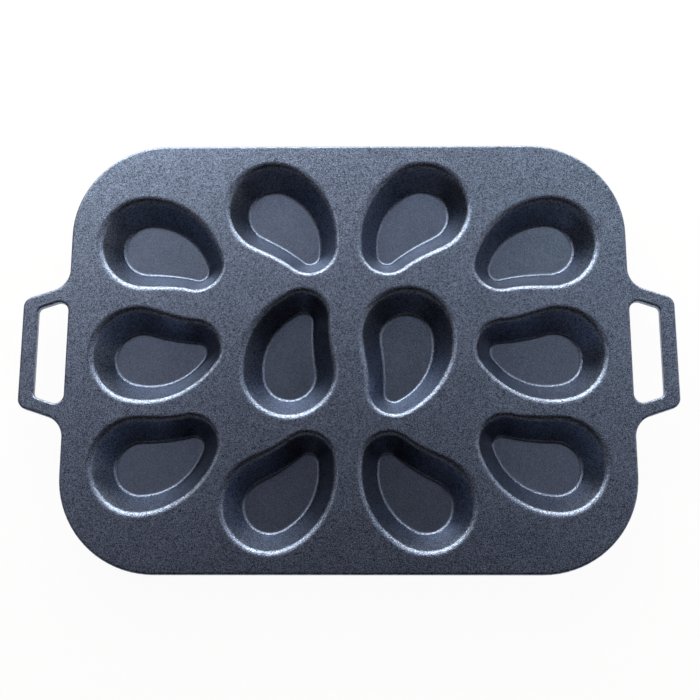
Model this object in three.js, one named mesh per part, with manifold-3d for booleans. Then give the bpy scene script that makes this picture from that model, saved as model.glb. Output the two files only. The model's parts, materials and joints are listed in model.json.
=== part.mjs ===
// Cast iron oyster grill pan: a flat deck with a loop handle at each end and twelve oyster cups under it.
// The real pan is one casting. It is drawn here in the pieces that its pattern is made of.
// Millimetres, +Z up. The origin lies under the middle of the pan, on the surface that its cups stand on.
import * as THREE from 'three';
import { mergeVertices } from 'three/addons/utils/BufferGeometryUtils.js';
import Module from 'manifold-3d';

const wasm = await Module();
wasm.setup();

// Oyster cup: its floor's edge is a round end and a tip, joined by a full flank and a hollow flank
const roundEndRadius = 16.7;
const tipRadius = 5.8;
const endSpacing = 38;
const fullFlankRadius = 43.4;
const hollowFlankRadius = 148;

// Section through a cup and the deck around it. At the tip the wall keeps only a share of its run.
const cupDepth = 19.4;
const wallSlope = THREE.MathUtils.degToRad(56);
const tipRunShare = 0.85;
const lipRadius = 6;
const floorFillet = 3.5;
const cupWall = 4.5;
const footThickness = 4.6;
const footRound = 4;
const rootFillet = 3;
const rootEdge = 0.6;
const deckThickness = 6;
const edgeRound = 1.5;

// Way that each kind of cup points, from its round end to its tip
const cornerHeading = THREE.MathUtils.degToRad(23.6);
const innerHeading = THREE.MathUtils.degToRad(49.1);
const sideHeading = THREE.MathUtils.degToRad(6.75);
const centreHeading = THREE.MathUtils.degToRad(76.4);

// Lands of deck between the lips of neighbouring cups, measured square to the pan's sides
const centrePairLand = 11.8;
const innerPairLand = 11.25;
const innerRowLand = 5.96;
const cornerRowLand = 4.3;
const columnNesting = 2.72;
const centreCupDrop = 0.57;
const sideCupDrop = 1.4;

// Deck outside the cups
const sideLand = 14;
const endLand = 11.37;
const cornerRadius = 65;

// Loop handles, seen from above
const gripWidth = 10.4;
const legWidth = 9.7;
const legSlope = THREE.MathUtils.degToRad(18.5);
const slotDepth = 20.4;
const slotLength = 74.6;
const slotRootRadius = 6;
const slotGripRadius = 4;
const gripCornerRadius = 7.5;
const handleRootFillet = 15;
const handleSeam = 12;

// How far a cutting solid runs past the face that it cuts
const overrun = 1;

// Facets of each arc
const cupArcFacets = { round: 10, full: 8, tip: 7, hollow: 5 };
const lipFacets = 3;
const filletFacets = 2;
const cornerFacets = 10;
const handleFacets = 5;
const edgeFacets = 2;

// Heights
const deckTop = footThickness + cupDepth;
const deckUnder = deckTop - deckThickness;

// The section is drawn as points: x is how far outside the floor's edge, y is the height
const wallRun = 1 / Math.tan(wallSlope);
const tangent = Math.tan(wallSlope / 2);
const quarter = Math.PI / 2;
const floorArc = sectionArc(0, footThickness + floorFillet, floorFillet, -quarter, filletFacets);
const floorArcTop = floorArc.at(-1);
const innerWall = (height) => floorArcTop.x + (height - floorArcTop.y) * wallRun;
const outerWall = (height) => innerWall(height) + cupWall / Math.sin(wallSlope);
const lipReach = innerWall(deckTop) + lipRadius * tangent;
const lipArc = sectionArc(lipReach, deckTop - lipRadius, lipRadius, quarter, lipFacets);
const rootTop = deckUnder - rootEdge;
const rootReach = outerWall(rootTop) + rootFillet * tangent;
const rootArc = sectionArc(rootReach, rootTop - rootFillet, rootFillet, quarter, filletFacets);
const footEdge = outerWall(0) - footRound * tangent;
const footArc = sectionArc(footEdge, footRound, footRound, -quarter, filletFacets);

// An arc of the section that turns from level to the wall's slope
function sectionArc(x, y, radius, start, facets) {
  return new THREE.ArcCurve(x, y, radius, start, start + wallSlope, false).getPoints(facets);
}

// Meeting point of two arms that start at the cup's two end centres, on the hollow side
function armsMeet(fromRound, fromTip) {
  const x = (fromRound ** 2 - fromTip ** 2 + endSpacing ** 2) / (2 * endSpacing);
  return new THREE.Vector2(x, Math.sqrt(fromRound ** 2 - x ** 2));
}

// Cup outline where its section is a distance outside the floor's edge, counter-clockwise. The round end is
// at the origin and the tip on +X. The hollow flank is on the left for hand 1, on the right for hand -1.
function cupOutline(outside, hand) {
  const roundCentre = new THREE.Vector2(0, 0);
  const tipCentre = new THREE.Vector2(endSpacing, 0);
  const fullCentre = armsMeet(fullFlankRadius - roundEndRadius, fullFlankRadius - tipRadius);
  const hollowCentre = armsMeet(hollowFlankRadius + roundEndRadius, hollowFlankRadius + tipRadius);
  const bearing = (from, to) => to.clone().sub(from).angle();
  const runShare = (along) => 1 - (1 - tipRunShare) * THREE.MathUtils.smoothstep(along, 0, 1);
  const arcs = [
    [roundCentre, roundEndRadius, bearing(roundCentre, hollowCentre), bearing(fullCentre, roundCentre),
      false, () => 1, cupArcFacets.round],
    [fullCentre, fullFlankRadius, bearing(fullCentre, roundCentre), bearing(fullCentre, tipCentre),
      false, (along) => runShare(along), cupArcFacets.full],
    [tipCentre, tipRadius, bearing(fullCentre, tipCentre), bearing(tipCentre, hollowCentre),
      false, () => tipRunShare, cupArcFacets.tip],
    [hollowCentre, hollowFlankRadius, bearing(hollowCentre, tipCentre), bearing(hollowCentre, roundCentre),
      true, (along) => runShare(1 - along), cupArcFacets.hollow],
  ];
  const points = arcs.flatMap(([centre, radius, from, to, hollow, share, facets]) => {
    const edge = new THREE.ArcCurve(centre.x, centre.y, radius, from, to, hollow).getPoints(facets);
    const outward = hollow ? -outside : outside;
    return edge.slice(0, -1).map((p, i) => (
      p.sub(centre).setLength(radius + outward * share(i / facets)).add(centre)
    ));
  });
  return hand > 0 ? points : points.map((p) => new THREE.Vector2(p.x, -p.y)).reverse();
}

// Closed solid through the cup outlines at each point of a section, from its top face to its bottom face
function loftedCup(section, hand) {
  const rings = section.map((p) => cupOutline(p.x, hand));
  const count = rings[0].length;
  const positions = rings.flatMap((ring, i) => ring.flatMap((p) => [p.x, p.y, section[i].y]));
  const faces = [];
  for (let i = 0; i + 1 < rings.length; i += 1) {
    for (let j = 0; j < count; j += 1) {
      const [a, b] = [i * count + j, i * count + (j + 1) % count];
      faces.push(a, a + count, b, b, a + count, b + count);
    }
  }
  const lastRing = (rings.length - 1) * count;
  for (const [a, b, c] of THREE.ShapeUtils.triangulateShape(rings[0], [])) {
    faces.push(a, b, c);
  }
  for (const [a, b, c] of THREE.ShapeUtils.triangulateShape(rings.at(-1), [])) {
    faces.push(lastRing + a, lastRing + c, lastRing + b);
  }
  const geometry = new THREE.BufferGeometry();
  geometry.setAttribute('position', new THREE.Float32BufferAttribute(positions, 3));
  geometry.setIndex(faces);
  geometry.computeVertexNormals();
  return geometry;
}

// Cup below the deck: up its inside from the floor, across its top face, and down its outside to the foot
function cupBowl(hand) {
  const top = [new THREE.Vector2(innerWall(deckUnder), deckUnder), new THREE.Vector2(rootReach, deckUnder)];
  return loftedCup([...floorArc, ...top, ...rootArc, ...footArc.toReversed()], hand);
}

// Space that a cup takes out of the deck, from above the rolled lip to below the deck
function lipCutter(hand) {
  const [lipStart, lipNext] = lipArc;
  const above = lipStart.clone().lerp(lipNext, -overrun / (lipStart.y - lipNext.y));
  const below = deckUnder - overrun;
  return loftedCup([above, ...lipArc.slice(1), new THREE.Vector2(innerWall(below), below)], hand);
}

// Corners of a plan outline, each with its own radius and facets, as one run of points
function roundedOutline(corners) {
  return corners.flatMap(([x, y, radius, facets], i) => {
    const corner = new THREE.Vector2(x, y);
    const before = corners.at(i - 1);
    const after = corners[(i + 1) % corners.length];
    const back = new THREE.Vector2(before[0], before[1]).sub(corner).normalize();
    const ahead = new THREE.Vector2(after[0], after[1]).sub(corner).normalize();
    const half = back.angleTo(ahead) / 2;
    const centre = back.clone().add(ahead).setLength(radius / Math.sin(half)).add(corner);
    const start = back.multiplyScalar(radius / Math.tan(half)).add(corner).sub(centre);
    const end = ahead.multiplyScalar(radius / Math.tan(half)).add(corner).sub(centre);
    const clockwise = start.cross(end) < 0;
    return new THREE.ArcCurve(centre.x, centre.y, radius, start.angle(), end.angle(), clockwise)
      .getPoints(facets);
  });
}

// Where each cup stands: the front left quarter is laid out from the lips, and the rest mirror it
const lipBox = (heading, hand) => new THREE.Box2().setFromPoints(
  cupOutline(lipReach, hand).map((p) => p.rotateAround(new THREE.Vector2(), heading)),
);
const centreBox = lipBox(centreHeading, -1);
const innerBox = lipBox(innerHeading, 1);
const sideBox = lipBox(sideHeading, 1);
const cornerBox = lipBox(cornerHeading, 1);
const centreCup = new THREE.Vector2(
  -centrePairLand / 2 - centreBox.max.x,
  -(centreBox.min.y + centreBox.max.y) / 2 - centreCupDrop,
);
const innerCup = new THREE.Vector2(
  -innerPairLand / 2 - innerBox.max.x,
  centreCup.y + centreBox.min.y - innerRowLand - innerBox.max.y,
);
const outerTipLine = innerCup.x + innerBox.min.x + columnNesting;
const sideCup = new THREE.Vector2(outerTipLine - sideBox.max.x, -sideCupDrop);
const cornerCup = new THREE.Vector2(
  outerTipLine - cornerBox.max.x,
  sideCup.y + sideBox.min.y - cornerRowLand - cornerBox.max.y,
);

// Pan outline: a rounded rectangle and the two handles, with a finger slot through each handle
const halfLength = -(sideCup.x + sideBox.min.x) + sideLand;
const halfWidth = -(innerCup.y + innerBox.min.y) + endLand;
const handleReach = slotDepth + gripWidth;
const legRise = Math.tan(legSlope);
const slotRootHalf = slotLength / 2;
const slotGripHalf = slotRootHalf - slotDepth * legRise;
const legRootHalf = slotRootHalf + legWidth / Math.cos(legSlope);
const gripHalf = legRootHalf - handleReach * legRise;

function panOutline() {
  const rightHalf = [
    [halfLength, -halfWidth, cornerRadius, cornerFacets],
    [halfLength, -legRootHalf, handleRootFillet, handleFacets],
    [halfLength + handleReach, -gripHalf, gripCornerRadius, handleFacets],
    [halfLength + handleReach, gripHalf, gripCornerRadius, handleFacets],
    [halfLength, legRootHalf, handleRootFillet, handleFacets],
    [halfLength, halfWidth, cornerRadius, cornerFacets],
  ];
  const leftHalf = rightHalf.map(([x, y, ...rest]) => [-x, -y, ...rest]);
  const shape = new THREE.Shape(roundedOutline([...rightHalf, ...leftHalf]));
  for (const side of [-1, 1]) {
    const root = side * halfLength;
    const grip = side * (halfLength + slotDepth);
    shape.holes.push(new THREE.Path(roundedOutline([
      [root, -slotRootHalf, slotRootRadius, handleFacets],
      [grip, -slotGripHalf, slotGripRadius, handleFacets],
      [grip, slotGripHalf, slotGripRadius, handleFacets],
      [root, slotRootHalf, slotRootRadius, handleFacets],
    ])));
  }
  return shape;
}

function panPlate() {
  const plate = new THREE.ExtrudeGeometry(panOutline(), {
    depth: deckThickness - 2 * edgeRound,
    bevelSize: edgeRound,
    bevelOffset: -edgeRound,
    bevelThickness: edgeRound,
    bevelSegments: edgeFacets,
  });
  return plate.translate(0, 0, deckUnder + edgeRound);
}

// Joining and cutting of closed solids
function solidOf(geometry) {
  const bare = geometry.clone();
  bare.deleteAttribute('normal');
  bare.deleteAttribute('uv');
  const merged = mergeVertices(bare);
  return new wasm.Manifold(new wasm.Mesh({
    numProp: 3,
    vertProperties: merged.attributes.position.array,
    triVerts: Uint32Array.from(merged.index.array),
  }));
}

function geometryOf(solid) {
  const mesh = solid.getMesh();
  const geometry = new THREE.BufferGeometry();
  geometry.setAttribute('position', new THREE.BufferAttribute(mesh.vertProperties, 3));
  geometry.setIndex(new THREE.BufferAttribute(mesh.triVerts, 1));
  geometry.computeVertexNormals();
  return geometry;
}

// Seasoned cast iron, one material for each piece
function seasonedIron() {
  return new THREE.MeshStandardMaterial({ color: 0x2c2e33, roughness: 0.5, metalness: 0.6 });
}

const pan = new THREE.Group();

function addPiece(name, geometry) {
  const piece = new THREE.Mesh(geometry, seasonedIron());
  piece.name = name;
  pan.add(piece);
  return piece;
}

// Oyster cups, from left to right in each row. Along is -1 for the front row and 1 for the back row.
const bowls = { 1: cupBowl(1), '-1': cupBowl(-1) };
const cutters = { 1: lipCutter(1), '-1': lipCutter(-1) };
const cups = [];

function addCup(name, place, heading, side, along, hand) {
  const cup = addPiece(name, bowls[hand]);
  cup.position.set(-side * place.x, -along * place.y, 0);
  cup.rotation.z = Math.atan2(-along * Math.sin(heading), -side * Math.cos(heading));
  cup.updateMatrix();
  cups.push({ cup, hand });
}

for (const [row, along] of [['front', -1], ['back', 1]]) {
  addCup(`cup_${row}_1`, cornerCup, cornerHeading, -1, along, -along);
  addCup(`cup_${row}_2`, innerCup, innerHeading, -1, along, -along);
  addCup(`cup_${row}_3`, innerCup, innerHeading, 1, along, along);
  addCup(`cup_${row}_4`, cornerCup, cornerHeading, 1, along, along);
}
addCup('cup_middle_1', sideCup, sideHeading, -1, -1, 1);
addCup('cup_middle_2', centreCup, centreHeading, -1, -1, -1);
addCup('cup_middle_3', centreCup, centreHeading, 1, 1, -1);
addCup('cup_middle_4', sideCup, sideHeading, 1, -1, -1);

// Deck and handles: the plate is parted across the handles' legs, and each cup's space is cut from the deck
const plate = solidOf(panPlate());
const seamX = halfLength + handleSeam;
const middleBlock = solidOf(
  new THREE.BoxGeometry(2 * seamX, 2 * halfWidth + 2 * overrun, deckThickness + 2 * overrun)
    .translate(0, 0, (deckTop + deckUnder) / 2),
);
const handleBlock = (side) => solidOf(
  new THREE.BoxGeometry(handleReach, 2 * halfWidth, deckThickness + 2 * overrun)
    .translate(side * (seamX + handleReach / 2), 0, (deckTop + deckUnder) / 2),
);

let deck = plate.intersect(middleBlock);
for (const { cup, hand } of cups) {
  deck = deck.subtract(solidOf(cutters[hand].clone().applyMatrix4(cup.matrix)));
}
addPiece('deck_plate', geometryOf(deck));
addPiece('left_handle', geometryOf(plate.intersect(handleBlock(-1))));
addPiece('right_handle', geometryOf(plate.intersect(handleBlock(1))));

export default pan;
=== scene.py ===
import json
from math import atan2, cos, pi, radians, sin, tan

import bmesh
import bpy
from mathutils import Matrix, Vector

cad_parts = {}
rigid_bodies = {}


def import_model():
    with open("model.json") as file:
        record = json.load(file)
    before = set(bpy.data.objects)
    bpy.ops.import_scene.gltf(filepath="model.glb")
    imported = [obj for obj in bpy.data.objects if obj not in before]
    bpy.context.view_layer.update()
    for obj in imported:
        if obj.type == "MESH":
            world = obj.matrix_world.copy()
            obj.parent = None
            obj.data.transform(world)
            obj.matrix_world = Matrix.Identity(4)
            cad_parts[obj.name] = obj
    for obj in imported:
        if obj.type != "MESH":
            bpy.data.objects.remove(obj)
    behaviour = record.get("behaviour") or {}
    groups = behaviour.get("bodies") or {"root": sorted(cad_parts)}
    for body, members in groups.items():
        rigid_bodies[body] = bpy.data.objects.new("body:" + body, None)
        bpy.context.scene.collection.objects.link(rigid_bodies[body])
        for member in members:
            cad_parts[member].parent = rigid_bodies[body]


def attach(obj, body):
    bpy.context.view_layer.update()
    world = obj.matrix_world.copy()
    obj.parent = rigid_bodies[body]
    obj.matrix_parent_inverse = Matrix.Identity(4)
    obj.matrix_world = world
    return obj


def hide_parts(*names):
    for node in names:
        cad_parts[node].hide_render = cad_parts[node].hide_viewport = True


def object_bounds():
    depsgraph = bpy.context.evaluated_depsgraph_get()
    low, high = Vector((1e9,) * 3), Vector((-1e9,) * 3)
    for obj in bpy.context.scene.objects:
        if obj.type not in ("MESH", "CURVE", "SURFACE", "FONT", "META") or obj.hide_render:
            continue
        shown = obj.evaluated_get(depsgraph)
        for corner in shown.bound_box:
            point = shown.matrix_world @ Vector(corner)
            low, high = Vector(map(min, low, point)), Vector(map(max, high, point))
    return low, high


for spare in list(bpy.data.objects):
    bpy.data.objects.remove(spare)
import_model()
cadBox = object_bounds()
mm = 0.001
scene = bpy.context.scene
print("frame loaded, CAD box", [round(v / mm, 2) for corner in cadBox for v in corner])


# Node helpers, used for the geometry trees and for the materials
def plug(tree, socket, value):
    if isinstance(value, bpy.types.NodeSocket):
        tree.links.new(value, socket)
    else:
        socket.default_value = value


def addNode(tree, kind, settings=None, inputs=None):
    node = tree.nodes.new(kind)
    for name, value in (settings or {}).items():
        setattr(node, name, value)
    for name, value in (inputs or {}).items():
        plug(tree, node.inputs[name], value)
    return node


def calc(tree, operation, *values):
    node = addNode(tree, "ShaderNodeMath", {"operation": operation})
    for socket, value in zip(node.inputs, values):
        plug(tree, socket, value)
    return node.outputs[0]


def vectorOf(tree, x=0.0, y=0.0, z=0.0):
    return addNode(tree, "ShaderNodeCombineXYZ", None, {"X": x, "Y": y, "Z": z}).outputs[0]


def partsOf(tree, vector):
    return addNode(tree, "ShaderNodeSeparateXYZ", None, {"Vector": vector}).outputs


def newTree(name, sockets, kind="GeometryNodeTree"):
    tree = bpy.data.node_groups.new(name, kind)
    for label, way, socketType, value in sockets:
        socket = tree.interface.new_socket(
            label, in_out=way, socket_type="NodeSocket" + socketType)
        if value is not None:
            socket.default_value = value
    given = tree.nodes.new("NodeGroupInput")
    made = tree.nodes.new("NodeGroupOutput")
    return tree, given.outputs, made.inputs


def socketId(tree, label):
    inputs = [item for item in tree.interface.items_tree if item.in_out == "INPUT"]
    return next(item.identifier for item in inputs if item.name == label)


# Oyster cup, in mm; the section runs from the floor's edge outwards
cupSize = {
    "roundEndRadius": 16.7, "tipRadius": 5.8, "endSpacing": 38.0,
    "fullFlankRadius": 43.4, "hollowFlankRadius": 148.0,
    "tipShare": 0.85,  # run of the wall at the tip, as a share of its run at the round end
    "floorTop": 4.6, "floorFillet": 3.5, "wallSlope": radians(56), "wall": 4.5,
    "lipRadius": 6.0, "footRound": 4.0, "rootFillet": 3.0,
    "deckTop": 24.0, "deckUnder": 18.0,
    "levelBand": 0.8,  # flat ring beside each roll, so its shading stays off the flat
    "arcFacets": 40, "lipFacets": 18, "rollFacets": 9,
}
# Round end's centre in mm and heading of each kind of cup, in the front left quarter
cupKinds = {
    "corner": (-139.93, -77.35, radians(23.6)), "inner": (-52.17, -102.62, radians(49.1)),
    "side": (-142.85, -1.4, radians(6.75)), "centre": (-40.34, -12.35, radians(76.4)),
}
# Kind, side (-1 left, 1 right), half (-1 front, 1 back) and hollow flank (1 left, -1 right)
cupLayout = {
    "cup_front_1": ("corner", -1, -1, 1), "cup_front_2": ("inner", -1, -1, 1),
    "cup_front_3": ("inner", 1, -1, -1), "cup_front_4": ("corner", 1, -1, -1),
    "cup_middle_1": ("side", -1, -1, 1), "cup_middle_2": ("centre", -1, -1, -1),
    "cup_middle_3": ("centre", 1, 1, -1), "cup_middle_4": ("side", 1, -1, -1),
    "cup_back_1": ("corner", -1, 1, -1), "cup_back_2": ("inner", -1, 1, -1),
    "cup_back_3": ("inner", 1, 1, 1), "cup_back_4": ("corner", 1, 1, 1),
}


def cupPlace(kind, side, along, hand):
    x, y, heading = cupKinds[kind]
    return -side * x, -along * y, atan2(-along * sin(heading), -side * cos(heading)), hand


cupPlaces = {node: cupPlace(*layout) for node, layout in cupLayout.items()}


def sectionArc(x, y, radius, start, turn, facets):
    steps = [start + turn * i / facets for i in range(facets + 1)]
    return [(x + radius * cos(a), y + radius * sin(a)) for a in steps]


# Sections of a deck lip and of a cup, as points: how far outside the floor's edge, and how high
def cupSections(size):
    slope, facets, band = size["wallSlope"], size["rollFacets"], size["levelBand"]
    top, under, floorTop = size["deckTop"], size["deckUnder"], size["floorTop"]
    fillet, lipRadius = size["floorFillet"], size["lipRadius"]
    rootFillet, footRound = size["rootFillet"], size["footRound"]
    roll = tan(slope / 2)
    floorArc = sectionArc(0, floorTop + fillet, fillet, -pi / 2, slope, facets)
    wallX, wallY = floorArc[-1]

    def inner(height):
        return wallX + (height - wallY) / tan(slope)

    def outer(height):
        return inner(height) + size["wall"] / sin(slope)

    lipReach = inner(top) + lipRadius * roll
    rootReach = outer(under) + rootFillet * roll
    footEdge = outer(0) - footRound * roll
    lip = [(lipReach + band, top)]
    lip += sectionArc(lipReach, top - lipRadius, lipRadius, pi / 2, slope, size["lipFacets"])
    lip += [(inner(under), under)]
    cup = [(-band, floorTop)] + floorArc + [(inner(under), under), (rootReach, under)]
    cup += sectionArc(rootReach, under - rootFillet, rootFillet, pi / 2, slope, facets)[1:]
    cup += sectionArc(footEdge, footRound, footRound, slope - pi / 2, -slope, facets)
    cup += [(footEdge - band, 0)]
    return lip, cup


def polyCurve(name, runs, closed):
    data = bpy.data.curves.new(name, "CURVE")
    data.dimensions = "3D"
    for points in runs:
        spline = data.splines.new("POLY")
        spline.points.add(len(points) - 1)
        for point, (x, y, *radius) in zip(spline.points, points):
            point.co = (x * mm, y * mm, 0, 1)
            point.radius = radius[0] * mm if radius else 1
        spline.use_cyclic_u = closed
    curve = bpy.data.objects.new(name, data)
    scene.collection.objects.link(curve)
    return curve


outlineSockets = [
    ("Round End Radius", "INPUT", "Float", cupSize["roundEndRadius"] * mm),
    ("Tip Radius", "INPUT", "Float", cupSize["tipRadius"] * mm),
    ("End Spacing", "INPUT", "Float", cupSize["endSpacing"] * mm),
    ("Full Flank Radius", "INPUT", "Float", cupSize["fullFlankRadius"] * mm),
    ("Hollow Flank Radius", "INPUT", "Float", cupSize["hollowFlankRadius"] * mm),
    ("Tip Share", "INPUT", "Float", cupSize["tipShare"]),
    ("Arc Facets", "INPUT", "Int", cupSize["arcFacets"]),
]
outlineLabels = [socket[0] for socket in outlineSockets]
stepNudge = 0.0001  # keeps the first point of an arc from falling into the arc before it


def attributeOf(tree, name):
    kind = "GeometryNodeInputNamedAttribute"
    return addNode(tree, kind, {"data_type": "FLOAT"}, {"Name": name}).outputs[0]


# Floor edge of a cup: four arcs that run into each other, counter-clockwise, tip on +X
def makeOysterOutline():
    tree, given, made = newTree(
        "oysterOutline", [*outlineSockets, ("Outline", "OUTPUT", "Geometry", None)])
    big, tip, gap, full, hollow, tipShare, facets = (given[label] for label in outlineLabels)

    def square(value):
        return calc(tree, "POWER", value, 2)

    def armsMeet(fromBig, fromTip):  # where two arms from the end centres meet, on the hollow side
        squares = calc(tree, "SUBTRACT", square(fromBig), square(fromTip))
        twice = calc(tree, "MULTIPLY", gap, 2)
        x = calc(tree, "DIVIDE", calc(tree, "MULTIPLY_ADD", gap, gap, squares), twice)
        y = calc(tree, "SQRT", calc(tree, "SUBTRACT", square(fromBig), square(x)))
        return x, y

    def bearing(fromPoint, toPoint):
        rise = calc(tree, "SUBTRACT", toPoint[1], fromPoint[1])
        return calc(tree, "ARCTAN2", rise, calc(tree, "SUBTRACT", toPoint[0], fromPoint[0]))

    def pick(kind, number, values):
        node = addNode(tree, "GeometryNodeIndexSwitch", {"data_type": kind})
        for extra in values[2:]:  # the node starts with two items
            node.index_switch_items.new()
        for socket, value in zip(node.inputs, [number, *values]):
            plug(tree, socket, value)
        return node.outputs[0]

    bigCentre, tipCentre = (0.0, 0.0), (gap, 0.0)
    fullCentre = armsMeet(calc(tree, "SUBTRACT", full, big), calc(tree, "SUBTRACT", full, tip))
    hollowCentre = armsMeet(calc(tree, "ADD", hollow, big), calc(tree, "ADD", hollow, tip))
    fromBig = bearing(bigCentre, hollowCentre)
    fromFull = bearing(fullCentre, bigCentre)
    fromTip = bearing(fullCentre, tipCentre)
    fromHollow = bearing(hollowCentre, tipCentre)
    starts = [fromBig, fromFull, fromTip, fromHollow]
    ends = [
        calc(tree, "ADD", fromFull, 2 * pi), fromTip,
        bearing(tipCentre, hollowCentre), bearing(hollowCentre, bigCentre),
    ]
    turns = [calc(tree, "SUBTRACT", end, start) for start, end in zip(starts, ends)]
    step = calc(tree, "DIVIDE", addNode(tree, "GeometryNodeInputIndex").outputs[0], facets)
    arc = calc(tree, "FLOOR", calc(tree, "ADD", step, stepNudge))
    along = calc(tree, "SUBTRACT", step, arc)
    turn, start = pick("FLOAT", arc, turns), pick("FLOAT", arc, starts)
    angle = calc(tree, "MULTIPLY_ADD", along, turn, start)
    radius = pick("FLOAT", arc, [big, full, tip, hollow])
    centres = [vectorOf(tree, *c) for c in (bigCentre, fullCentre, tipCentre, hollowCentre)]
    spoke = vectorOf(
        tree,
        calc(tree, "MULTIPLY", radius, calc(tree, "COSINE", angle)),
        calc(tree, "MULTIPLY", radius, calc(tree, "SINE", angle)),
    )
    place = addNode(tree, "ShaderNodeVectorMath", {"operation": "ADD"})
    plug(tree, place.inputs[0], pick("VECTOR", arc, centres))
    plug(tree, place.inputs[1], spoke)

    def ease(low, high):
        return addNode(tree, "ShaderNodeMapRange", {"interpolation_type": "SMOOTHSTEP"}, {
            "Value": along, "To Min": low, "To Max": high}).outputs[0]

    share = pick("FLOAT", arc, [1.0, ease(1.0, tipShare), tipShare, ease(tipShare, 1.0)])
    line = addNode(tree, "GeometryNodeMeshLine", None, {
        "Count": calc(tree, "MULTIPLY", facets, len(starts))})
    noted = addNode(tree, "GeometryNodeStoreNamedAttribute", {
        "data_type": "FLOAT", "domain": "POINT"}, {
        "Geometry": line.outputs[0], "Name": "share", "Value": share})
    laid = addNode(tree, "GeometryNodeSetPosition", None, {
        "Geometry": noted.outputs[0], "Position": place.outputs[0]})
    curve = addNode(tree, "GeometryNodeMeshToCurve", None, {"Mesh": laid.outputs[0]})
    ring = addNode(tree, "GeometryNodeSetSplineCyclic", None, {
        "Geometry": curve.outputs[0], "Cyclic": True})
    upright = addNode(tree, "GeometryNodeSetCurveNormal", {"mode": "Z_UP"}, {
        "Curve": ring.outputs[0]})
    plug(tree, made["Outline"], upright.outputs[0])
    return tree


# Sweeps a section (X outwards, Y up) round a path
def sweepNode(tree, path, section, scale=1.0):
    turned = addNode(tree, "GeometryNodeTransform", None, {
        "Geometry": section, "Scale": (1, -1, 1)})
    return addNode(tree, "GeometryNodeCurveToMesh", None, {
        "Curve": path, "Profile Curve": turned.outputs[0], "Scale": scale}).outputs[0]


# Sweeps a section round a cup: its run follows the share kept on the outline, its height stays
def sweepCup(tree, path, section):
    spot = partsOf(tree, addNode(tree, "GeometryNodeInputPosition").outputs[0])
    share = attributeOf(tree, "share")
    level = vectorOf(tree, spot["X"], spot["Y"], calc(tree, "DIVIDE", spot["Z"], share))
    return addNode(tree, "GeometryNodeSetPosition", None, {
        "Geometry": sweepNode(tree, path, section, share), "Position": level}).outputs[0]


farDown, farUp = -1.0, 1.0  # heights in m that lie past every edge of the pan


# Closes the open edges of a mesh that lie within a height band with a flat face
def capNode(tree, mesh, low, high, height):
    faces = addNode(tree, "GeometryNodeInputMeshEdgeNeighbors").outputs[0]
    lone = addNode(tree, "FunctionNodeCompare", {"data_type": "INT", "operation": "EQUAL"})
    plug(tree, lone.inputs[2], faces)
    plug(tree, lone.inputs[3], 1)
    spot = partsOf(tree, addNode(tree, "GeometryNodeInputPosition").outputs[0])["Z"]
    above, below = calc(tree, "GREATER_THAN", spot, low), calc(tree, "LESS_THAN", spot, high)
    both = addNode(tree, "FunctionNodeBooleanMath", {"operation": "AND"})
    plug(tree, both.inputs[0], lone.outputs[0])
    plug(tree, both.inputs[1], calc(tree, "MULTIPLY", above, below))
    rim = addNode(tree, "GeometryNodeMeshToCurve", None, {
        "Mesh": mesh, "Selection": both.outputs[0]})
    face = addNode(tree, "GeometryNodeFillCurve", {"mode": "TRIANGLES"}, {"Curve": rim.outputs[0]})
    return addNode(tree, "GeometryNodeTransform", None, {
        "Geometry": face.outputs[0], "Translation": vectorOf(tree, z=height)}).outputs[0]


def joinNode(tree, parts):
    node = tree.nodes.new("GeometryNodeJoinGeometry")
    for part in parts:
        tree.links.new(part, node.inputs[0])
    return node.outputs[0]


# Welding distance and cutting tolerance in m, and the angle past which an edge is shaded sharp
meshing = {"weld": 0.004 * mm, "cutTolerance": 1e-7, "sharpAngle": radians(40)}


def endTree(tree, made, mesh, material):
    welded = addNode(tree, "GeometryNodeMergeByDistance", None, {
        "Geometry": mesh, "Distance": meshing["weld"]})
    real = addNode(tree, "GeometryNodeRealizeInstances", None, {"Geometry": welded.outputs[0]})
    painted = addNode(tree, "GeometryNodeSetMaterial", None, {
        "Geometry": real.outputs[0], "Material": material})
    plug(tree, made["Geometry"], painted.outputs[0])


def outlineNode(tree, outline, given):
    node = addNode(tree, "GeometryNodeGroup", {"node_tree": outline})
    for label in outlineLabels:
        plug(tree, node.inputs[label], given[label])
    return node.outputs[0]


def makeOysterCup(outline):
    tree, given, made = newTree("oysterCup", [
        ("Geometry", "INPUT", "Geometry", None), *outlineSockets,
        ("Floor Height", "INPUT", "Float", cupSize["floorTop"] * mm),
        ("Place", "INPUT", "Vector", None),
        ("Heading", "INPUT", "Float", 0.0), ("Hand", "INPUT", "Float", 1.0),
        ("Material", "INPUT", "Material", None), ("Geometry", "OUTPUT", "Geometry", None),
    ])
    wall = sweepCup(tree, outlineNode(tree, outline, given), given["Geometry"])
    middle = calc(tree, "MULTIPLY", given["Floor Height"], 0.5)
    foot = capNode(tree, wall, farDown, middle, 0.0)
    floor = capNode(tree, wall, middle, farUp, given["Floor Height"])
    shape = joinNode(tree, [wall, foot, floor])
    handed = addNode(tree, "GeometryNodeTransform", None, {
        "Geometry": shape, "Scale": vectorOf(tree, 1.0, given["Hand"], 1.0)})
    laid = addNode(tree, "GeometryNodeTransform", None, {
        "Geometry": handed.outputs[0], "Translation": given["Place"],
        "Rotation": vectorOf(tree, z=given["Heading"])})
    endTree(tree, made, laid.outputs[0], given["Material"])
    return tree


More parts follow.
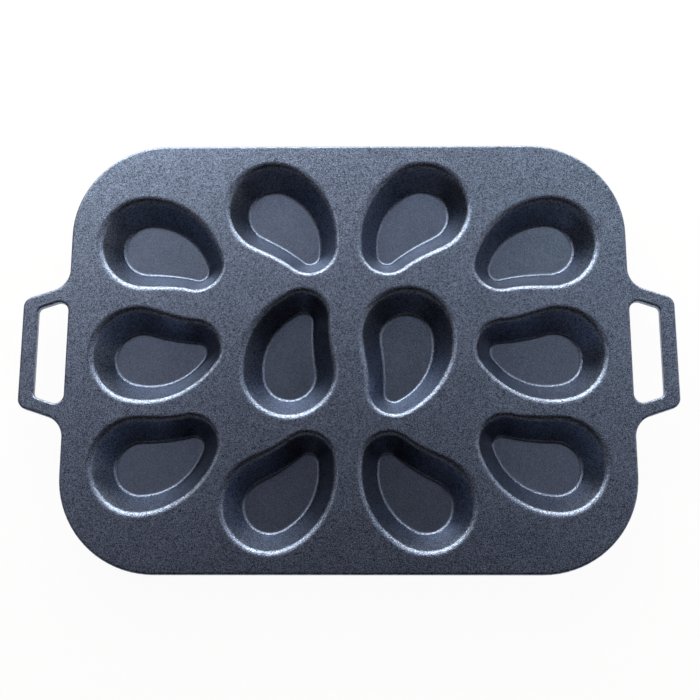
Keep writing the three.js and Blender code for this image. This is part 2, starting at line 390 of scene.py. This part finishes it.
# Plate with its handles, in mm; its reach comes from the CAD box
panSize = {
    "halfWidth": cadBox[1][1] / mm, "cornerRadius": 65.0, "edgeRound": 1.5,
    "gripWidth": 10.4, "legWidth": 9.7, "legSlope": radians(18.5),
    "slotDepth": 20.4, "slotLength": 74.6, "slotRootRadius": 6.0, "slotGripRadius": 4.0,
    "gripCornerRadius": 7.5, "handleRootFillet": 15.0, "handleSeam": 12.0,
    "edgeFacets": 6, "cornerFacets": 20,
}
panSize["halfLength"] = cadBox[1][0] / mm - panSize["slotDepth"] - panSize["gripWidth"]


# Corners of the outline and of the two slots, each with its radius; the slots run clockwise
def panOutline(size):
    rise = tan(size["legSlope"])
    length, width = size["halfLength"], size["halfWidth"]
    slot = length + size["slotDepth"]
    grip = slot + size["gripWidth"]
    slotRoot = size["slotLength"] / 2
    slotGrip = slotRoot - size["slotDepth"] * rise
    legRoot = slotRoot + size["legWidth"] / cos(size["legSlope"])
    gripHalf = legRoot - (grip - length) * rise
    right = [
        (length, -width, size["cornerRadius"]), (length, -legRoot, size["handleRootFillet"]),
        (grip, -gripHalf, size["gripCornerRadius"]), (grip, gripHalf, size["gripCornerRadius"]),
        (length, legRoot, size["handleRootFillet"]), (length, width, size["cornerRadius"]),
    ]
    hole = [
        (length, slotRoot, size["slotRootRadius"]), (slot, slotGrip, size["slotGripRadius"]),
        (slot, -slotGrip, size["slotGripRadius"]), (length, -slotRoot, size["slotRootRadius"]),
    ]

    def halfTurn(run):
        return [(-x, -y, radius) for x, y, radius in run]

    return [right + halfTurn(right), hole, halfTurn(hole)]


def rimSection(size):
    top, under = cupSize["deckTop"], cupSize["deckUnder"]
    r, band, facets = size["edgeRound"], cupSize["levelBand"], size["edgeFacets"]
    rim = [(-r - band, under)] + sectionArc(-r, under + r, r, -pi / 2, pi / 2, facets)
    return rim + sectionArc(-r, top - r, r, 0, pi / 2, facets) + [(-r - band, top)]


def makePanPlate(outline):
    tree, given, made = newTree("panPlate", [
        ("Geometry", "INPUT", "Geometry", None), *outlineSockets,
        ("Corner Facets", "INPUT", "Int", panSize["cornerFacets"]),
        ("Deck Top", "INPUT", "Float", cupSize["deckTop"] * mm),
        ("Deck Under", "INPUT", "Float", cupSize["deckUnder"] * mm),
        ("Rim Section", "INPUT", "Object", None), ("Lip Section", "INPUT", "Object", None),
        ("Cup Places", "INPUT", "Object", None),
        ("Material", "INPUT", "Material", None), ("Geometry", "OUTPUT", "Geometry", None),
    ])

    def shapeOf(label):
        info = addNode(tree, "GeometryNodeObjectInfo", None, {"Object": given[label]})
        return info.outputs["Geometry"]

    rounded = addNode(tree, "GeometryNodeFilletCurve", {"mode": "POLY"}, {
        "Curve": given["Geometry"], "Count": given["Corner Facets"],
        "Radius": addNode(tree, "GeometryNodeInputRadius").outputs[0]})
    even = addNode(tree, "GeometryNodeSetCurveRadius", None, {
        "Curve": rounded.outputs[0], "Radius": 1.0})
    upright = addNode(tree, "GeometryNodeSetCurveNormal", {"mode": "Z_UP"}, {
        "Curve": even.outputs[0]})
    rim = sweepNode(tree, upright.outputs[0], shapeOf("Rim Section"))
    lip = sweepCup(tree, outlineNode(tree, outline, given), shapeOf("Lip Section"))
    spin = addNode(tree, "FunctionNodeEulerToRotation", None, {
        "Euler": vectorOf(tree, z=attributeOf(tree, "heading"))})
    lips = addNode(tree, "GeometryNodeInstanceOnPoints", None, {
        "Points": shapeOf("Cup Places"), "Instance": lip, "Rotation": spin.outputs[0],
        "Scale": vectorOf(tree, 1.0, attributeOf(tree, "hand"), 1.0)})
    allLips = addNode(tree, "GeometryNodeRealizeInstances", None, {"Geometry": lips.outputs[0]})
    walls = joinNode(tree, [rim, allLips.outputs[0]])
    heights = calc(tree, "ADD", given["Deck Top"], given["Deck Under"])
    middle = calc(tree, "MULTIPLY", heights, 0.5)
    topFace = capNode(tree, walls, middle, farUp, given["Deck Top"])
    underFace = capNode(tree, walls, farDown, middle, given["Deck Under"])
    endTree(tree, made, joinNode(tree, [walls, topFace, underFace]), given["Material"])
    return tree


def runTree(carrier, tree, values):
    modifier = carrier.modifiers.new("build", "NODES")
    modifier.node_group = tree
    for label, value in values.items():
        modifier[socketId(tree, label)] = value
    built = carrier.evaluated_get(bpy.context.evaluated_depsgraph_get())
    mesh = bpy.data.meshes.new_from_object(built)
    carrier.modifiers.remove(modifier)
    return mesh


def setOutward(mesh):
    work = bmesh.new()
    work.from_mesh(mesh)
    bmesh.ops.recalc_face_normals(work, faces=work.faces)
    for face in work.faces:
        face.smooth = True
    work.to_mesh(mesh)
    lone = sum(1 for edge in work.edges if len(edge.link_faces) != 2)
    volume = work.calc_volume(signed=True)
    work.free()
    mesh.set_sharp_from_angle(angle=meshing["sharpAngle"])
    return lone, volume


def finishPiece(name, mesh, node):
    lone, volume = setOutward(mesh)
    mesh.name = name
    piece = bpy.data.objects.new(name, mesh)
    scene.collection.objects.link(piece)
    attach(piece, "root")
    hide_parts(node)
    faces, size = len(mesh.polygons), round(volume * 1e6, 2)
    print("piece", name, faces, "faces,", lone, "open edges,", size, "cm3")


# Seasoned cast iron on Object coordinates: sand grain, slow swell, a mottled oil skin, and flecks
# that are partly random tone and partly painted glints
ironLook = {
    "dark": (0.119, 0.143, 0.206, 1.0), "light": (0.153, 0.184, 0.26, 1.0),
    "metallic": 1.0, "roughness": 0.3, "roughnessSpread": 0.06,
    "grainScale": 1250.0, "mottleScale": 45.0, "swellScale": 30.0, "speckleGlintScale": 2400.0,
    "bumpDistance": 0.0004, "grain": 0.55, "floorGrain": 0.3, "swell": 0.15,
    "speckleGlint": 0.9, "floorSpeckleGlint": 0.35,
    # Below these heights the painted glints in the flecks are also weaker
    "calmLow": 0.00465, "calmHigh": 0.0051,  # cup floors, below these heights, are smoother
}
# Detail and roughness of each noise
noiseKinds = {"grain": (2.0, 0.6), "swell": (1.0, 0.5), "mottle": (4.0, 0.6)}
skinSockets = {
    "Roughness": "roughness", "Roughness Spread": "roughnessSpread",
    "Grain Scale": "grainScale", "Mottle Scale": "mottleScale", "Swell Scale": "swellScale",
    "Speckle Scale": "speckleGlintScale", "Grain": "grain", "Floor Grain": "floorGrain",
    "Swell": "swell", "Speckle": "speckleGlint", "Floor Speckle": "floorSpeckleGlint",
    "Calm Low": "calmLow", "Calm High": "calmHigh",
}


def makeIronSkin():
    tree, given, made = newTree("ironSkin", [
        ("Vector", "INPUT", "Vector", None),
        ("Dark", "INPUT", "Color", None), ("Light", "INPUT", "Color", None),
        *((label, "INPUT", "Float", ironLook[key]) for label, key in skinSockets.items()),
        ("Color", "OUTPUT", "Color", None), ("Roughness", "OUTPUT", "Float", None),
        ("Height", "OUTPUT", "Float", None),
    ], "ShaderNodeTree")
    height = partsOf(tree, given["Vector"])["Z"]

    def noise(kind, scale):
        detail, roughness = noiseKinds[kind]
        return addNode(tree, "ShaderNodeTexNoise", None, {
            "Vector": given["Vector"], "Scale": scale,
            "Detail": detail, "Roughness": roughness}).outputs["Fac"]

    def risen(low, high):  # from the cup floors up to the deck
        return addNode(tree, "ShaderNodeMapRange", {"interpolation_type": "SMOOTHSTEP"}, {
            "Value": height, "From Min": given["Calm Low"], "From Max": given["Calm High"],
            "To Min": low, "To Max": high}).outputs[0]

    def centred(value):
        return calc(tree, "SUBTRACT", value, 0.5)

    sand = noise("grain", given["Grain Scale"])
    grain = calc(tree, "MULTIPLY", sand, risen(given["Floor Grain"], given["Grain"]))
    swell = calc(tree, "MULTIPLY", noise("swell", given["Swell Scale"]), given["Swell"])
    mottle = noise("mottle", given["Mottle Scale"])
    tone = addNode(tree, "ShaderNodeMix", {"data_type": "RGBA"})
    plug(tree, tone.inputs["Factor"], mottle)
    plug(tree, tone.inputs[6], given["Dark"])
    plug(tree, tone.inputs[7], given["Light"])

    # Each fleck is lighter or darker than the metal by a random share: partly random tone, partly
    # painted glints that stand in for the sparkle of light off the grain, weaker on the cup floors
    cells = addNode(tree, "ShaderNodeTexVoronoi", None, {
        "Vector": given["Vector"], "Scale": given["Speckle Scale"]})
    chance = addNode(tree, "ShaderNodeSeparateColor", None, {
        "Color": cells.outputs["Color"]}).outputs[0]
    strength = risen(given["Floor Speckle"], given["Speckle"])
    glint = calc(tree, "MULTIPLY", centred(chance), strength)
    fleckedWithGlints = addNode(tree, "ShaderNodeVectorMath", {"operation": "SCALE"}, {
        "Vector": tone.outputs[2], "Scale": calc(tree, "MULTIPLY_ADD", glint, 2.0, 1.0)})
    spread = calc(tree, "MULTIPLY", centred(mottle), given["Roughness Spread"])
    plug(tree, made["Color"], fleckedWithGlints.outputs[0])
    plug(tree, made["Roughness"], calc(tree, "ADD", given["Roughness"], spread))
    plug(tree, made["Height"], calc(tree, "ADD", grain, swell))
    return tree


def makeIron(name, look, skin):
    material = bpy.data.materials.new(name)
    material.use_nodes = True
    tree = material.node_tree
    shader = tree.nodes["Principled BSDF"]
    where = addNode(tree, "ShaderNodeTexCoord").outputs["Object"]
    coat = addNode(tree, "ShaderNodeGroup", {"node_tree": skin}, {
        "Vector": where, "Dark": look["dark"], "Light": look["light"],
        **{label: look[key] for label, key in skinSockets.items()}})
    bump = addNode(tree, "ShaderNodeBump", None, {
        "Strength": 1.0, "Distance": look["bumpDistance"], "Height": coat.outputs["Height"]})
    shader.inputs["Metallic"].default_value = look["metallic"]
    plug(tree, shader.inputs["Base Color"], coat.outputs["Color"])
    plug(tree, shader.inputs["Roughness"], coat.outputs["Roughness"])
    plug(tree, shader.inputs["Normal"], bump.outputs["Normal"])
    return material


ironSkin = makeIronSkin()
deckIron = makeIron("deckIron", ironLook, ironSkin)
cupIron = makeIron("cupIron", ironLook, ironSkin)
handleIron = makeIron("handleIron", ironLook, ironSkin)
print("iron materials made")

lipSection, cupSection = cupSections(cupSize)
oysterOutline = makeOysterOutline()
cupTree = makeOysterCup(oysterOutline)
carrier = polyCurve("cupSection", [cupSection], False)
for node, (x, y, heading, hand) in cupPlaces.items():
    kind, row, number = node.split("_")
    mesh = runTree(carrier, cupTree, {
        "Place": (x * mm, y * mm, 0.0), "Heading": heading, "Hand": float(hand),
        "Material": cupIron})
    finishPiece(kind + row.title() + number, mesh, node)
bpy.data.objects.remove(carrier)


# Points at the cups' round ends, with the heading and the hand of each
def makeSpots():
    spots = bpy.data.meshes.new("cupPlaces")
    spots.from_pydata([(x * mm, y * mm, 0) for x, y, heading, hand in cupPlaces.values()], [], [])
    headings = spots.attributes.new("heading", "FLOAT", "POINT")
    headings.data.foreach_set("value", [place[2] for place in cupPlaces.values()])
    hands = spots.attributes.new("hand", "FLOAT", "POINT")
    hands.data.foreach_set("value", [float(place[3]) for place in cupPlaces.values()])
    spotObject = bpy.data.objects.new("cupPlaces", spots)
    scene.collection.objects.link(spotObject)
    return spotObject


spotObject = makeSpots()
lipObject = polyCurve("lipSection", [lipSection], False)
rimObject = polyCurve("rimSection", [rimSection(panSize)], False)
plan = polyCurve("panOutline", panOutline(panSize), True)
plate = runTree(plan, makePanPlate(oysterOutline), {
    "Rim Section": rimObject, "Lip Section": lipObject, "Cup Places": spotObject,
    "Material": deckIron})
for helper in (spotObject, lipObject, rimObject, plan):
    bpy.data.objects.remove(helper)


# Parts the plate across the handles' legs: keeps what lies on one side of each seam
def cutPlate(seams, material):
    work = bmesh.new()
    work.from_mesh(plate)
    for at, keep in seams:
        bmesh.ops.bisect_plane(
            work, geom=work.verts[:] + work.edges[:] + work.faces[:],
            dist=meshing["cutTolerance"],
            plane_co=(at * mm, 0, 0), plane_no=(keep, 0, 0), clear_inner=True)
        cut = [edge for edge in work.edges if edge.is_boundary]
        bmesh.ops.holes_fill(work, edges=cut)
    mesh = bpy.data.meshes.new("cutPlate")
    work.to_mesh(mesh)
    work.free()
    mesh.materials.append(material)
    return mesh


seamAt = panSize["halfLength"] + panSize["handleSeam"]
deckMesh = cutPlate([(-seamAt, 1), (seamAt, -1)], deckIron)
finishPiece("panDeck", deckMesh, "deck_plate")
finishPiece("leftHandle", cutPlate([(-seamAt, -1)], handleIron), "left_handle")
finishPiece("rightHandle", cutPlate([(seamAt, 1)], handleIron), "right_handle")

# Studio: a round pale floor with a low wall far off, and a dark surround above it
studio = {
    "floorRadius": 12.0, "wallHeight": 0.9, "wallSides": 96,
    "floorColour": (0.9, 0.9, 0.9, 1.0), "floorRoughness": 0.9,
    "glowColour": (1.0, 1.0, 1.0, 1.0), "glowStrength": 1.0,
    "floorGlow": 0.95,  # share of plain white in what the camera and the iron see of the floor
    "surround": (0.005, 0.005, 0.005, 1.0),
}


def makeFloorPaint():
    paint = bpy.data.materials.new("floorPaint")
    paint.use_nodes = True
    tree = paint.node_tree
    matt = tree.nodes["Principled BSDF"]
    matt.inputs["Base Color"].default_value = studio["floorColour"]
    matt.inputs["Roughness"].default_value = studio["floorRoughness"]
    glow = addNode(tree, "ShaderNodeEmission", None, {
        "Color": studio["glowColour"], "Strength": studio["glowStrength"]})
    ray = addNode(tree, "ShaderNodeLightPath").outputs
    seen = calc(tree, "ADD", ray["Is Camera Ray"], ray["Is Glossy Ray"])
    seen = calc(tree, "ADD", seen, ray["Is Transmission Ray"])
    share = calc(tree, "MULTIPLY", calc(tree, "MINIMUM", seen, 1.0), studio["floorGlow"])
    mixed = addNode(tree, "ShaderNodeMixShader", None, {"Fac": share})
    plug(tree, mixed.inputs[1], matt.outputs[0])
    plug(tree, mixed.inputs[2], glow.outputs[0])
    plug(tree, tree.nodes["Material Output"].inputs["Surface"], mixed.outputs[0])
    return paint


def makeFloor():
    sides, radius = studio["wallSides"], studio["floorRadius"]
    angles = [2 * pi * i / sides for i in range(sides)]
    ring = [(radius * cos(a), radius * sin(a)) for a in angles]
    ends = [(i, (i + 1) % sides) for i in range(sides)]
    mesh = bpy.data.meshes.new("floor")
    mesh.from_pydata(
        [(x, y, z) for z in (0.0, studio["wallHeight"]) for x, y in ring], [],
        [range(sides)] + [(i, j, sides + j, sides + i) for i, j in ends])
    mesh.materials.append(makeFloorPaint())
    floor = bpy.data.objects.new("floor", mesh)
    scene.collection.objects.link(floor)


# Lamps, wide on the far side and dim elsewhere: place and size in m, power in W, and colour
lamps = {
    "windowLamp": ((0.0, 1.5, 0.5), (2.5, 0.9), 37.5, (1.0, 0.95, 0.86)),
    "skyLamp": ((-0.5, 1.5, 1.2), (1.8, 0.5), 11.0, (1.0, 0.86, 0.7)),
    "stripLamp": ((0.0, 0.6, 0.12), (1.2, 0.2), 1.85, (1.0, 0.91, 0.68)),
    "slitLamp": ((-0.15, 0.55, 0.3), (0.8, 0.22), 2.05, (0.82, 0.98, 1.0)),
    "cornerLamp": ((0.9, 0.9, 0.5), (0.8, 0.6), 1.9, (0.8, 0.87, 1.0)),
    "leftPanel": ((-0.5, 0.55, 0.85), (0.5, 0.3), 1.15, (0.95, 1.0, 0.95)),
    "middlePanel": ((0.0, 0.55, 0.9), (0.5, 0.22), 0.52, (0.9, 0.91, 1.0)),
    "rightPanel": ((0.5, 0.55, 0.9), (0.5, 0.22), 1.02, (0.87, 1.0, 0.94)),
    "leftTop": ((-0.75, 0.1, 1.4), (0.7, 1.0), 1.36, (1.0, 0.94, 1.0)),
    "rightTop": ((0.75, 0.1, 1.4), (0.7, 1.0), 1.46, (1.0, 0.95, 1.0)),
    "rightLamp": ((1.0, 0.1, 0.4), (0.8, 0.6), 1.6, (1.0, 0.94, 0.86)),
    "leftLamp": ((-1.0, 0.0, 0.5), (0.8, 0.6), 0.48, (1.0, 0.85, 0.75)),
    "frontLamp": ((0.0, -1.15, 0.55), (3.4, 0.4), 1.1, (1.0, 0.85, 0.7)),
}


def addLamp(name, place, size, power, colour):
    light = bpy.data.lights.new(name, "AREA")
    light.shape = "RECTANGLE"
    light.size, light.size_y = size
    light.energy = power
    light.color = colour
    holder = bpy.data.objects.new(name, light)
    holder.location = place
    towards = -Vector(place)  # the pan's middle
    holder.rotation_euler = towards.to_track_quat("-Z", "Y").to_euler()
    scene.collection.objects.link(holder)


makeFloor()
for name, lamp in lamps.items():
    addLamp(name, *lamp)
world = bpy.data.worlds.new("surround")
world.use_nodes = True
world.node_tree.nodes["Background"].inputs["Color"].default_value = studio["surround"]
scene.world = world
print("studio lit")

# Camera fitted to the photo: lens in mm, place in m, turn in degrees
photoCamera = {
    "lens": 59.14, "place": (0.01047, -0.1685, 0.78317), "turn": (12.593, 0.676, 0.054),
}
camera = bpy.data.objects.new("camera", bpy.data.cameras.new("camera"))
scene.collection.objects.link(camera)
camera.data.lens = photoCamera["lens"]
camera.location = photoCamera["place"]
camera.rotation_euler = [radians(angle) for angle in photoCamera["turn"]]
scene.camera = camera
scene.view_settings.view_transform = "Standard"
